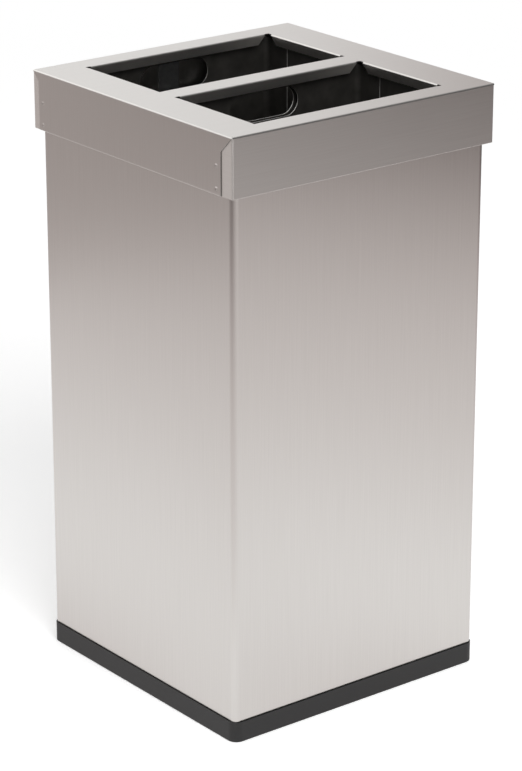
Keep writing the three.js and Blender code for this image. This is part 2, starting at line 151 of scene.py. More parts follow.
def warm_glow(tree, reach, glows):
    """Light that goes from glow to glow along a distance, and is the warmer the darker it is."""
    span, peak = glows[-1][0], max(glow for place, glow in glows)
    ramp = add_node(tree, "ShaderNodeValToRGB", {0: reckon(tree, "DIVIDE", reach, span)})
    ramp.color_ramp.interpolation = "B_SPLINE"
    while len(ramp.color_ramp.elements) < len(glows):
        ramp.color_ramp.elements.new(0.5)
    for stop, (place, glow) in zip(ramp.color_ramp.elements, glows):
        stop.position = place / span
        gloom, tone = max(1 - glow, 0), glow / peak
        stop.color = (tone, tone * (1 - LESS_GREEN * gloom), tone * (1 - LESS_BLUE * gloom), 1)
    return add_node(tree, "ShaderNodeEmission", {"Color": ramp.outputs[0]}, Strength=peak)


def fading(tree, value, start, end, lowest):
    """Goes from its lowest share to the full one as a value goes from start to end."""
    fade = add_node(tree, "ShaderNodeMapRange", {"Value": value}, interpolation_type="SMOOTHSTEP")
    limits = (("From Min", start), ("From Max", end), ("To Min", lowest), ("To Max", 1.0))
    for name, amount in limits:
        fade.inputs[name].default_value = amount
    return fade.outputs["Result"]


def strengthen(tree, light, share):
    """Multiplies a light's strength by a share that changes from place to place."""
    strength = light.inputs["Strength"]
    tree.links.new(reckon(tree, "MULTIPLY", share, strength.default_value), strength)


def white_paper():
    """Paper that looks white with the bin's shadow on it, darkened round the bin by painted shade,
    and that the steel mirrors graded.
    """
    material, tree = new_finish("white_paper")
    path = add_node(tree, "ShaderNodeLightPath")
    place = add_node(tree, "ShaderNodeTexCoord").outputs["Object"]
    offset = measure(tree, "SUBTRACT", place, GLOW_CENTRE)["Vector"]
    oval = measure(tree, "MULTIPLY", offset, GLOW_STRETCH)["Vector"]
    reach = measure(tree, "LENGTH", oval)["Value"]
    in_steel = warm_glow(tree, reach, FLOOR_GLOWS)
    from_gloom = measure(tree, "DISTANCE", place, GLOOM_PLACE)["Value"]
    strengthen(tree, in_steel, fading(tree, from_gloom, *GLOOM_FADE))
    matt = add_node(tree, "ShaderNodeBsdfDiffuse", Color=PAPER)
    lift = add_node(tree, "ShaderNodeEmission", Strength=PAPER_LIFT)
    # Painted shade: the lift fades near the bin.
    strengthen(tree, lift, fading(tree, reach, *PAINTED_SHADE_FADE))
    lifted = add_node(tree, "ShaderNodeAddShader", {0: matt.outputs[0], 1: lift.outputs[0]})
    white = add_node(tree, "ShaderNodeEmission", Strength=WHITE)
    far = fading(tree, reach, *FAR_FADE)
    shown = mixed(tree, far, lifted.outputs[0], white.outputs[0])
    seen = mixed(tree, path.outputs["Is Camera Ray"], matt.outputs[0], shown)
    paper = mixed(tree, path.outputs["Is Glossy Ray"], seen, in_steel.outputs[0])
    add_node(tree, "ShaderNodeOutputMaterial", {"Surface": paper})
    return material


bpy.ops.object.select_all(action="DESELECT")
bpy.ops.mesh.primitive_plane_add(size=FLOOR_SIZE, location=(0, 0, 0))
floor = bpy.context.object
floor.name = "floor"
floor.data.materials.append(white_paper())

world = bpy.data.worlds.new("studio")
bpy.context.scene.world = world
room = empty_tree(world)
path = add_node(room, "ShaderNodeLightPath")
way = add_node(room, "ShaderNodeTexCoord").outputs["Generated"]
shade = add_node(
    room,
    "ShaderNodeMapRange",
    {"Value": measure(room, "DOT_PRODUCT", way, BRIGHT_WAY)["Value"]},
    From_Min=ROOM_LEAN[0],
    From_Max=ROOM_LEAN[1],
    To_Min=ROOM_GLOW[0],
    To_Max=ROOM_GLOW[1],
)
in_steel = add_node(room, "ShaderNodeBackground", {"Strength": shade.outputs["Result"]})
on_matt = add_node(room, "ShaderNodeBackground", Strength=MATT_ROOM_GLOW)
backdrop = add_node(room, "ShaderNodeBackground", Strength=WHITE)
unseen = mixed(room, path.outputs["Is Glossy Ray"], on_matt.outputs[0], in_steel.outputs[0])
walls = mixed(room, path.outputs["Is Camera Ray"], unseen, backdrop.outputs[0])
add_node(room, "ShaderNodeOutputWorld", {"Surface": walls})

lamp_turn = (Vector(LAMP_TARGET) - Vector(LAMP_PLACE)).to_track_quat("-Z", "Y").to_euler()
bpy.ops.object.light_add(type="AREA", location=LAMP_PLACE, rotation=lamp_turn)
lamp = bpy.context.object
lamp.name = "front_lamp"
lamp.data.size = LAMP_SIZE
lamp.data.energy = LAMP_GLOW * math.pi * LAMP_SIZE**2
lamp.visible_camera = False
lamp.visible_glossy = False


def glowing_card():
    """Brightest left of its middle, dim at its right end, and darker and warmer at its foot."""
    material, tree = new_finish("glowing_card")
    place = add_node(tree, "ShaderNodeTexCoord").outputs["Object"]
    parts = add_node(tree, "ShaderNodeSeparateXYZ", {0: place})
    light = warm_glow(tree, reckon(tree, "SUBTRACT", parts.outputs["X"], CARD_LOW[0]), CARD_GLOWS)
    height = fading(tree, parts.outputs["Z"], *CARD_FADE)
    tint = add_node(tree, "ShaderNodeMix", {0: height}, data_type="RGBA")
    tint.inputs[FIRST_COLOUR].default_value = CARD_FOOT
    tint.inputs[SECOND_COLOUR].default_value = (1, 1, 1, 1)
    colours = {0: light.inputs["Color"].links[0].from_socket, 1: tint.outputs[MIXED_COLOUR]}
    graded = add_node(tree, "ShaderNodeVectorMath", colours, operation="MULTIPLY")
    tree.links.new(graded.outputs[0], light.inputs["Color"])
    add_node(tree, "ShaderNodeOutputMaterial", {"Surface": light.outputs[0]})
    return material


def stand_card(name, middle, turn, size, material):
    """Puts up a card that only polished surfaces see."""
    bpy.ops.object.select_all(action="DESELECT")
    bpy.ops.mesh.primitive_plane_add(size=1, location=middle, rotation=(math.pi / 2, 0, turn))
    card = bpy.context.object
    card.name = name
    card.scale = (*size, 1)
    bpy.ops.object.transform_apply(location=True, rotation=True, scale=True)
    card.data.materials.append(material)
    card.visible_camera = False
    card.visible_diffuse = False
    card.visible_shadow = False


card_middle = [(low + high) / 2 for low, high in zip(CARD_LOW, CARD_HIGH)]
card_size = (CARD_HIGH[0] - CARD_LOW[0], CARD_HIGH[2] - CARD_LOW[2])
stand_card("rear_card", card_middle, 0, card_size, glowing_card())
side_light, side_tree = new_finish("side_light")
side_glow = add_node(side_tree, "ShaderNodeEmission", Strength=SIDE_GLOW)
add_node(side_tree, "ShaderNodeOutputMaterial", {"Surface": side_glow.outputs[0]})
side_turn = math.atan2(SIDE_PLACE[1], SIDE_PLACE[0]) + math.pi / 2
stand_card("side_card", SIDE_PLACE, side_turn, SIDE_SIZE, side_light)

# ---- Plinth, feet and base screws ----
# A ring moulded in black plastic: a wall with a thin lip round the casing's foot, a shelf under
# the casing, and ribs and bosses below. Rubber pads and four screws sit in its bosses.

X, Y, Z = 0, 1, 2
DECIMALS = 5


def extent(node, axis):
    """Where a CAD node starts and ends along an axis, to a hundredth of a millimetre."""
    return [round(corner[axis], DECIMALS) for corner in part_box(node)]


def middle_of(node, axis):
    return round(sum(extent(node, axis)) / 2, DECIMALS)


PLINTH_HALF = extent("base_plinth", X)[1]
PLINTH_BOTTOM, PLINTH_TOP = extent("base_plinth", Z)
SHELF_BOTTOM, SHELF_TOP = 0.0165, 0.019
PLINTH_CORNER, CORNER_FACES = 0.012, 14
PLINTH_WALL, LIP = 0.0026, 0.001
SHELF_REACH, SHELF_CORNER, SHELF_CORNER_FACES = 0.034, 0.004, 6
TOP_ROUND, FOOT_ROUND, LIP_ROUND = 0.0006, 0.0008, 0.0002
RIBS, RIB, RIB_LIFT, RIB_SHORT = 5, 0.002, 0.0007, 0.001
FOOT_HALF = middle_of("foot_pad_rear_right", X)
BOSS_RADIUS = 0.0123
PAD_ROOM_RADIUS, PAD_ROOM_DEPTH = 0.0103, 0.0028
SCREW_X, SCREW_Y = middle_of("base_screw_2", X), middle_of("base_screw_2", Y)
SCREW_BOSS_RADIUS, SCREW_BOSS_DEPTH = 0.006, 0.003
SCREW_ROOM = 0.0023
POST_SIDES = 32
CUTTER_LOW, CUTTER_HIGH = -0.01, 0.04
DRILL_LOW, DRILL_HIGH = -0.005, 0.03
SMOOTH_BELOW = math.radians(38)

# How close a place counts as on a plane and two points as one, and above and below which share
# of an axis a direction counts as along it or across it.
TOUCH, DOUBLED = 1e-5, 1e-6
ALONG, ACROSS = 0.9, 0.1


def open_block(name, low, high):
    """Adds a block between two corners and opens it for editing, with nothing picked."""
    bpy.ops.object.select_all(action="DESELECT")
    size = [end - start for start, end in zip(low, high)]
    middle = [(start + end) / 2 for start, end in zip(low, high)]
    bpy.ops.mesh.primitive_cube_add(size=1, location=middle, scale=size)
    bpy.ops.object.transform_apply(location=True, rotation=True, scale=True)
    bpy.context.object.name = name
    bpy.ops.object.mode_set(mode="EDIT")
    bpy.ops.mesh.select_all(action="DESELECT")
    return bpy.context.object


def pick(kind, wanted):
    """Picks the faces, edges or points whose middle and direction pass the test."""
    bpy.ops.mesh.select_mode(type=kind)
    bpy.ops.mesh.select_all(action="DESELECT")
    mesh = bmesh.from_edit_mesh(bpy.context.object.data)
    if kind == "FACE":
        chosen = [face for face in mesh.faces if wanted(face.calc_center_median(), face.normal)]
    elif kind == "EDGE":
        pairs = [(edge, edge.verts[0].co, edge.verts[1].co) for edge in mesh.edges]
        chosen = [e for e, a, b in pairs if wanted((a + b) / 2, (b - a).normalized())]
    else:
        chosen = [point for point in mesh.verts if wanted(point.co, point.normal)]
    for item in chosen:
        item.select_set(True)
    mesh.select_flush_mode()
    bmesh.update_edit_mesh(bpy.context.object.data)
    if not chosen:
        raise ValueError("nothing picked")


def near(value, place):
    return abs(value - place) < TOUCH


def along_z(middle, way):
    """Upright edges, or faces that look up or down."""
    return abs(way.z) > ALONG


def pull(move):
    """Extrudes the picked faces, as one, by a vector."""
    bpy.ops.mesh.extrude_region_move(TRANSFORM_OT_translate={"value": move})


def round_edges(reach, faces):
    """Rounds the picked edges."""
    bpy.ops.mesh.bevel(offset=reach, segments=faces, affect="EDGES")


def close_edit():
    """Leaves editing with doubled points merged and all faces turned outwards."""
    bpy.ops.mesh.select_all(action="SELECT")
    bpy.ops.mesh.remove_doubles(threshold=DOUBLED)
    bpy.ops.mesh.normals_make_consistent(inside=False)
    bpy.ops.object.mode_set(mode="OBJECT")


def finish_with(piece, kind, **settings):
    """Gives a piece a modifier and applies it."""
    modifier = piece.modifiers.new(kind.lower(), kind)
    for name, value in settings.items():
        setattr(modifier, name, value)
    bpy.context.view_layer.objects.active = piece
    bpy.ops.object.modifier_apply(modifier=modifier.name)


def combine(piece, tool, operation):
    """Joins another solid to a piece, or cuts it out of it, and deletes the other solid."""
    finish_with(piece, "BOOLEAN", object=tool, operation=operation, solver="EXACT")
    bpy.data.objects.remove(tool)


def smooth(piece):
    """Shades the rounds smooth and the flats flat."""
    bpy.ops.object.select_all(action="DESELECT")
    piece.select_set(True)
    bpy.context.view_layer.objects.active = piece
    bpy.ops.object.shade_smooth_by_angle(angle=SMOOTH_BELOW)
    finish_with(piece, "WEIGHTED_NORMAL", keep_sharp=True, weight=100)


def posts(name, places, radius, low, high):
    """Upright round posts of one size, as one mesh."""
    bpy.ops.object.select_all(action="DESELECT")
    made = []
    for x, y in places:
        middle = (x, y, (low + high) / 2)
        bpy.ops.mesh.primitive_cylinder_add(
            vertices=POST_SIDES, radius=radius, depth=high - low, location=middle
        )
        made.append(bpy.context.object)
    for post in made:
        post.select_set(True)
    bpy.ops.object.join()
    bpy.ops.object.transform_apply(location=True, rotation=True, scale=True)
    bpy.context.object.name = name
    return bpy.context.object


def from_core(point):
    """How far a point lies outside the core that the plinth's corners are drawn round."""
    core = PLINTH_HALF - PLINTH_CORNER
    return math.hypot(max(abs(point.x) - core, 0), max(abs(point.y) - core, 0))


plinth = open_block(
    "plinth",
    (-PLINTH_HALF, -PLINTH_HALF, PLINTH_BOTTOM),
    (PLINTH_HALF, PLINTH_HALF, PLINTH_TOP),
)
pick("EDGE", along_z)
round_edges(PLINTH_CORNER, CORNER_FACES)
pick("FACE", lambda middle, way: way.z > ALONG)
bpy.ops.mesh.inset(thickness=LIP)
pull((0, 0, SHELF_TOP - PLINTH_TOP))
pick("FACE", lambda middle, way: way.z < -ALONG)
bpy.ops.mesh.inset(thickness=PLINTH_WALL)
pull((0, 0, SHELF_BOTTOM - PLINTH_BOTTOM))

# The outer edges lie beyond the first place. The lip's inner ones lie within the second, which
# is clear of the rounding of the outer ones.
outer_from, inner_to = PLINTH_CORNER - LIP / 3, PLINTH_CORNER - LIP * 0.8
for height, reach in ((PLINTH_TOP, TOP_ROUND), (PLINTH_BOTTOM, FOOT_ROUND)):
    pick("EDGE", lambda middle, way: near(middle.z, height) and from_core(middle) > outer_from)
    round_edges(reach, faces=3)
pick("EDGE", lambda middle, way: near(middle.z, PLINTH_TOP) and from_core(middle) < inner_to)
round_edges(LIP_ROUND, faces=2)
close_edit()

room_half = PLINTH_HALF - SHELF_REACH
middle_room = open_block(
    "room", (-room_half, -room_half, CUTTER_LOW), (room_half, room_half, CUTTER_HIGH)
)
pick("EDGE", along_z)
round_edges(SHELF_CORNER, SHELF_CORNER_FACES)
close_edit()
combine(plinth, middle_room, "DIFFERENCE")

foot_places = [(x, y) for x in (-FOOT_HALF, FOOT_HALF) for y in (-FOOT_HALF, FOOT_HALF)]
screw_places = [(x, y) for x in (-SCREW_X, SCREW_X) for y in (-SCREW_Y, SCREW_Y)]
shelf_middle = (SHELF_BOTTOM + SHELF_TOP) / 2
rib_run = 2 * (PLINTH_HALF - SHELF_REACH)
rib_places = [rib_run * (k + 1) / (RIBS + 1) - rib_run / 2 for k in range(RIBS)]
rib_low, rib_high = PLINTH_BOTTOM + RIB_LIFT, shelf_middle
rib_start, rib_end = PLINTH_HALF - SHELF_REACH + RIB_SHORT, PLINTH_HALF - PLINTH_WALL / 2
for side in (-1, 1):
    inner, outer = sorted((side * rib_start, side * rib_end))
    for along in rib_places:
        start, end = along - RIB / 2, along + RIB / 2
        rib = open_block("rib", (inner, start, rib_low), (outer, end, rib_high))
        close_edit()
        combine(plinth, rib, "UNION")
        rib = open_block("rib", (start, inner, rib_low), (end, outer, rib_high))
        close_edit()
        combine(plinth, rib, "UNION")
bosses = posts("bosses", foot_places, BOSS_RADIUS, PLINTH_BOTTOM, shelf_middle)
combine(plinth, bosses, "UNION")
low_boss = SHELF_BOTTOM - SCREW_BOSS_DEPTH
screw_bosses = posts("bosses", screw_places, SCREW_BOSS_RADIUS, low_boss, shelf_middle)
combine(plinth, screw_bosses, "UNION")
pad_rooms = posts("rooms", foot_places, PAD_ROOM_RADIUS, DRILL_LOW, PAD_ROOM_DEPTH)
combine(plinth, pad_rooms, "DIFFERENCE")
combine(plinth, posts("holes", screw_places, SCREW_ROOM, DRILL_LOW, DRILL_HIGH), "DIFFERENCE")
smooth(plinth)

PLASTIC_TONES = (0.0165, 0.0165, 0.017), (0.022, 0.0215, 0.021)
PLASTIC_GLOSS = (0.42, 0.58)
PIT_DEPTH = 0.00005


def two_tones(tree, value, places, tones):
    """Goes from one colour to another as a value goes from one place to another."""
    ramp = add_node(tree, "ShaderNodeValToRGB", {0: value})
    for stop, place, tone in zip(ramp.color_ramp.elements, places, tones):
        stop.position = place
        stop.color = (*tone, 1)
    return ramp.outputs[0]


def surface(tree, tone, gloss, relief, links=(), **settings):
    """Ends a tree in a surface with that colour, roughness and relief."""
    inputs = {"Base Color": tone, "Roughness": gloss, "Normal": relief, **dict(links)}
    shader = add_node(tree, "ShaderNodeBsdfPrincipled", inputs, **settings)
    add_node(tree, "ShaderNodeOutputMaterial", {"Surface": shader.outputs[0]})


def patterned(tree, place, **values):
    return add_node(tree, "ShaderNodeTexNoise", {"Vector": place}, **values).outputs[0]


def glossed(tree, value, gloss, **limits):
    """Goes from one roughness to another with a value."""
    return add_node(
        tree, "ShaderNodeMapRange", {"Value": value}, To_Min=gloss[0], To_Max=gloss[1], **limits
    ).outputs[0]


def embossed(tree, height, strength, depth):
    return add_node(
        tree, "ShaderNodeBump", {"Height": height}, Strength=strength, Distance=depth
    ).outputs[0]


def moulded_plastic():
    """Black plastic with the fine, even texture of its mould, and a little dust."""
    material, tree = new_finish("moulded_plastic")
    place = add_node(tree, "ShaderNodeTexCoord").outputs["Object"]
    pits = patterned(tree, place, Scale=1800.0, Detail=2.0)
    wear = patterned(tree, place, Scale=30.0, Detail=6.0, Roughness=0.7)
    tone = two_tones(tree, wear, places=(0.35, 0.75), tones=PLASTIC_TONES)
    relief = embossed(tree, pits, strength=0.35, depth=PIT_DEPTH)
    surface(tree, tone, glossed(tree, wear, PLASTIC_GLOSS), relief)
    return material


def dress(piece, *materials):
    """Gives a piece its materials in place of any that it has."""
    piece.data.materials.clear()
    for material in materials:
        piece.data.materials.append(material)


def stand_for(piece, node, body):
    """Puts a finished piece in the place of a CAD node."""
    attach(piece, body)
    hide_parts(node)


dress(plinth, moulded_plastic())
stand_for(plinth, "base_plinth", "casing")


def speckled(name, tones, metallic, gloss, scale, depth):
    """A finish whose colour, gloss and relief wander in soft patches."""
    material, tree = new_finish(name)
    place = add_node(tree, "ShaderNodeTexCoord").outputs["Object"]
    patches = patterned(tree, place, Scale=scale, Detail=5.0)
    tone = two_tones(tree, patches, places=(0.3, 0.7), tones=tones)
    relief = embossed(tree, patches, strength=0.3, depth=depth)
    surface(tree, tone, glossed(tree, patches, gloss), relief, Metallic=metallic)
    return material


rubber = speckled(
    "rubber",
    tones=((0.017, 0.017, 0.017), (0.026, 0.026, 0.026)),
    metallic=0.0,
    gloss=(0.7, 0.9),
    scale=400.0,
    depth=0.0001,
)
zinc_plate = speckled(
    "zinc_plate",
    tones=((0.52, 0.53, 0.55), (0.62, 0.63, 0.64)),
    metallic=1.0,
    gloss=(0.3, 0.45),
    scale=160.0,
    depth=0.00002,
)
for name, node in nodes.items():
    if name.startswith("foot_pad"):
        dress(node, rubber)
    elif name.startswith("base_screw"):
        dress(node, zinc_plate)

# ---- Casing ----
# One sheet of brushed stainless steel, wrapped round four rounded corners to a closed slit in the
# middle of the rear, with a narrow flange folded inwards along its rim and a wider one at its foot.

SHEET = 0.001
FOLD = 0.0018
CASING_HALF = extent("casing_shell", X)[1]
CASING_BOTTOM, CASING_TOP = extent("casing_shell", Z)
CASING_CORNER = 0.008
RIM_FLANGE, FOOT_FLANGE = 0.008, 0.020
SLIT_HALF = 0.0003
CORNER_STEPS, FOLD_STEPS = 12, 5
BLOCK_DEPTH = 0.01
FLANGE_DRILL = 0.01
CUT_SOFTNESS, SHARP_FROM = 0.00012, math.radians(60)


def draw_out(move):
    """Draws the picked edges of a sheet out by a vector."""
    bpy.ops.mesh.extrude_edges_move(TRANSFORM_OT_translate={"value": move})


def turn_edge(centre, axis, angle, steps):
    """Rolls the picked edges of a sheet round an axis, anticlockwise as seen against it."""
    bpy.ops.mesh.spin(steps=steps, angle=-angle, center=centre, axis=axis)


def trim_ends(axis, low, high):
    """Cuts back the two ends of the picked line of edges."""
    if not low + high:
        return
    mesh = bmesh.from_edit_mesh(bpy.context.object.data)
    places = [point.co[axis] for point in mesh.verts if point.select]
    start, end = min(places), max(places)
    factor = [1, 1, 1]
    factor[axis] = (end - start - low - high) / (end - start)
    pivot = [0, 0, 0]
    pivot[axis] = start + low * (end - start) / (low + high)
    bpy.ops.transform.resize(value=factor, center_override=pivot)


def thicken(sheet, offset):
    """Gives a sheet its thickness: -1 puts it inside the shape, and 0 half on each side."""
    finish_with(sheet, "SOLIDIFY", thickness=SHEET, offset=offset, use_even_offset=True)


def soften(piece, width):
    """Rounds the cut edges of a finished sheet a little."""
    finish_with(
        piece, "BEVEL", width=width, segments=2, limit_method="ANGLE", angle_limit=SHARP_FROM
    )


quarter = math.pi / 2
flat = CASING_HALF - CASING_CORNER
wall_low, wall_high = CASING_BOTTOM + FOLD, CASING_TOP - FOLD
casing = open_block(
    "casing", (SLIT_HALF, CASING_HALF - BLOCK_DEPTH, wall_low), (flat, CASING_HALF, wall_high)
)
pick("FACE", lambda middle, way: way.y < ALONG)
bpy.ops.mesh.delete(type="FACE")
pick("EDGE", lambda middle, way: near(middle.x, flat) and along_z(middle, way))
for corner, move in (
    ((flat, flat, 0), (0, -2 * flat, 0)),
    ((flat, -flat, 0), (-2 * flat, 0, 0)),
    ((-flat, -flat, 0), (0, 2 * flat, 0)),
    ((-flat, flat, 0), (flat - SLIT_HALF, 0, 0)),
):
    turn_edge(corner, (0, 0, 1), -quarter, CORNER_STEPS)
    draw_out(move)


def fold_inwards(axis, side, level, upwards, reach, slit):
    """Folds the sheet's straight edge on one side inwards, and mitres the flange's ends."""
    across = 1 - axis
    centre = [0, 0, level]
    centre[across] = side * (CASING_HALF - FOLD)
    line = [0, 0, 0]
    line[axis] = 1
    turn = side * upwards * (quarter if across == Y else -quarter)
    for half in (-1, 1) if slit else (0,):
        pick(
            "EDGE",
            lambda middle, way: near(middle[across], side * CASING_HALF)
            and near(middle.z, level)
            and middle[axis] * half >= 0,
        )
        turn_edge(centre, line, turn, FOLD_STEPS)
        move = [0, 0, 0]
        move[across] = -side * (reach - FOLD)
        draw_out(move)
        low = reach - FOLD if half <= 0 else 0
        high = reach - FOLD if half >= 0 else 0
        trim_ends(axis, low, high)


for axis, side in ((X, -1), (X, 1), (Y, -1), (Y, 1)):
    at_slit = axis == X and side == 1
    fold_inwards(axis, side, wall_high, 1, RIM_FLANGE, at_slit)
    fold_inwards(axis, side, wall_low, -1, FOOT_FLANGE, at_slit)
close_edit()
thicken(casing, -1)
combine(casing, posts("holes", screw_places, SCREW_ROOM, FLANGE_DRILL, DRILL_HIGH), "DIFFERENCE")
soften(casing, CUT_SOFTNESS)
smooth(casing)

STEEL_TONES = (0.747, 0.727, 0.702), (0.778, 0.758, 0.733)
STEEL_GLOSS = (0.28, 0.34)

# The grain's scale across and along the brushing, and how much coarser the wide streaks are.
FINE_GRAIN, LONG_GRAIN = 2200, 14
WIDE_SHARE, WIDE_LEAST = 3, 10
GRAIN_DEPTH = 0.00002


def brushed_steel(name, grain_scale, across):
    """Stainless steel brushed in one direction: fine streaks, and a gloss smeared across them."""
    material, tree = new_finish(name)
    place = add_node(tree, "ShaderNodeTexCoord").outputs["Object"]
    fine_place = add_node(tree, "ShaderNodeMapping", {"Vector": place}, Scale=grain_scale)
    fine = patterned(tree, fine_place.outputs[0], Scale=1.0, Detail=3.0)
    wide_scale = [min(value, max(value / WIDE_SHARE, WIDE_LEAST)) for value in grain_scale]
    wide_place = add_node(tree, "ShaderNodeMapping", {"Vector": place}, Scale=wide_scale)
    wide = patterned(tree, wide_place.outputs[0], Scale=1.0, Detail=2.0)
    streaks = add_node(tree, "ShaderNodeMath", {0: fine, 1: wide}, operation="ADD")
    tone = two_tones(tree, wide, places=(0.3, 0.7), tones=STEEL_TONES)
    gloss = glossed(tree, streaks.outputs[0], STEEL_GLOSS, From_Min=0.6, From_Max=1.4)
    relief = embossed(tree, fine, strength=0.08, depth=GRAIN_DEPTH)
    if across == "round":
        way = add_node(tree, "ShaderNodeTangent", direction_type="RADIAL", axis="Z")
    else:
        way = add_node(tree, "ShaderNodeCombineXYZ", X=across[0], Y=across[1], Z=across[2])
    smeared = {"Tangent": way.outputs[0]}
    surface(tree, tone, gloss, relief, smeared, Metallic=1.0, Anisotropic=0.75)
    return material


upright_grain = (FINE_GRAIN, FINE_GRAIN, LONG_GRAIN)
dress(casing, brushed_steel("upright_grain_steel", upright_grain, "round"))
stand_for(casing, "casing_shell", "casing")
for name in ("casing_floor", "casing_seam_strip", "bucket_guide_left", "bucket_guide_right"):
    dress(nodes[name], zinc_plate)

# ---- Buckets ----
# Two deep buckets of galvanised sheet, their colour painted far darker than zinc as painted shade
# for the gloom inside the casing. Each is wrapped round to a lapped seam on its right end, has a
# hem turned over outwards along its rim, and stadium-shaped hand holes in its long walls.

LAP_GAP = 0.0002
LAYER_STEP = SHEET + LAP_GAP
BUCKET_MIDDLE = middle_of("rear_bucket_wall", Y)
HEM_X, HEM_Y = extent("rear_bucket_wall", X)[1], extent("rear_bucket_wall", Y)[1]
BUCKET_HALF_X = round(HEM_X - LAYER_STEP, DECIMALS)
BUCKET_HALF_Y = round(HEM_Y - BUCKET_MIDDLE - LAYER_STEP, DECIMALS)
BUCKET_BOTTOM, BUCKET_TOP = extent("rear_bucket_wall", Z)
BUCKET_CORNER, BUCKET_CORNER_FACES = 0.008, 8
HEM, ROLL_STEPS, ROLL_ROOM = 0.008, 6, 0.01
SEAM_EDGE, SEAM_LAP = 0.043, 0.014
JOG_START, JOG_END = 0.0018, 0.0004
HOLE_HALF, HOLE_RADIUS, HOLE_HEIGHT, HOLE_FACES = 0.05, 0.0175, 0.6926, 16
HOLE_CUTTER_REACH = 0.12
BUCKET_SOFTNESS = 0.00015
CLOSE = 1e-4

# The cutter's ends are rounded by just under half its height, so that its faces stay apart.
JUST_UNDER = 0.999


def everywhere(middle, way):
    return True


def score(place, axis, wanted=everywhere):
    """Divides the faces that pass the test along a plane square to an axis."""
    pick("FACE", wanted)
    spot = [0, 0, 0]
    spot[axis] = place
    way = [0, 0, 0]
    way[axis] = 1
    bpy.ops.mesh.bisect(plane_co=spot, plane_no=way)


def roll_rim(out, rise):
    """Extrudes the picked rim upwards, and then outwards along its own directions."""
    draw_out((0, 0, ROLL_ROOM))
    bpy.ops.transform.shrink_fatten(value=out)
    bpy.ops.transform.translate(value=(0, 0, rise - ROLL_ROOM))


def bucket_wall(name, middle_y):
    """The wall is shaped by the middle of its sheet, and then given its thickness."""
    half_x, half_y = BUCKET_HALF_X - SHEET / 2, BUCKET_HALF_Y - SHEET / 2
    radius = LAYER_STEP / 2
    top = BUCKET_TOP - SHEET / 2 - radius
    wall = open_block(
        name, (-half_x, middle_y - half_y, BUCKET_BOTTOM), (half_x, middle_y + half_y, top)
    )
    pick("FACE", along_z)
    bpy.ops.mesh.delete(type="ONLY_FACE")
    pick("EDGE", along_z)
    round_edges(BUCKET_CORNER - SHEET / 2, BUCKET_CORNER_FACES)

    lap_top = BUCKET_TOP - HEM - SHEET
    seam = middle_y + SEAM_EDGE
    jog_start, jog_end = seam - JOG_START, seam - JOG_END
    score(lap_top, Z)
    for place in (jog_start, jog_end, seam):
        score(place, Y, lambda middle, way: middle.x > half_x - CLOSE and middle.z < lap_top)
    for kind, start, end in (("slit", jog_end, seam), ("jog", jog_start, jog_end)):
        pick(
            "FACE",
            lambda middle, way: middle.x > half_x - CLOSE
            and middle.z < lap_top
            and start < middle.y < end,
        )
        if kind == "slit":
            bpy.ops.mesh.delete(type="FACE")
        else:
            bpy.ops.mesh.split()
    pick(
        "EDGE",
        lambda middle, way: near(middle.x, half_x)
        and near(middle.y, jog_end)
        and middle.z < lap_top
        and along_z(middle, way),
    )
    bpy.ops.transform.translate(value=(LAYER_STEP, 0, 0))
    draw_out((0, seam + SEAM_LAP - jog_end, 0))

    pick("EDGE", lambda middle, way: near(middle.z, top))
    turns = [math.pi * step / ROLL_STEPS for step in range(ROLL_STEPS + 1)]
    for before, after in zip(turns, turns[1:]):
        out = radius * (math.cos(before) - math.cos(after))
        roll_rim(out, radius * (math.sin(after) - math.sin(before)))
    draw_out((0, 0, BUCKET_TOP - HEM - top))
    close_edit()
    thicken(wall, 0)
    return wall


def hand_hole_cutter(middle_y):
    """A bar with round ends that cuts the holes of both long walls."""
    cutter = open_block(
        "hole",
        (-HOLE_HALF, middle_y - HOLE_CUTTER_REACH, HOLE_HEIGHT - HOLE_RADIUS),
        (HOLE_HALF, middle_y + HOLE_CUTTER_REACH, HOLE_HEIGHT + HOLE_RADIUS),
    )
    pick("EDGE", lambda middle, way: abs(way.y) > ALONG)
    round_edges(HOLE_RADIUS * JUST_UNDER, HOLE_FACES)
    close_edit()
    return cutter


def in_hand_hole(middle, way):
    """The cut edge of the sheet round a hand hole."""
    beside = abs(middle.x) < HOLE_HALF + SHEET / 2
    level = abs(middle.z - HOLE_HEIGHT) < HOLE_RADIUS + SHEET / 2
    return abs(way.y) < ALONG and beside and level


# The buckets' galvanised colour is painted dark: painted shade for the gloom inside the casing, not
# the sheet's own tone.
galvanised_painted_shade = speckled(
    "galvanised_painted_shade",
    tones=((0.066, 0.063, 0.058), (0.1, 0.095, 0.087)),
    metallic=0.75,
    gloss=(0.28, 0.4),
    scale=60.0,
    depth=0.00002,
)
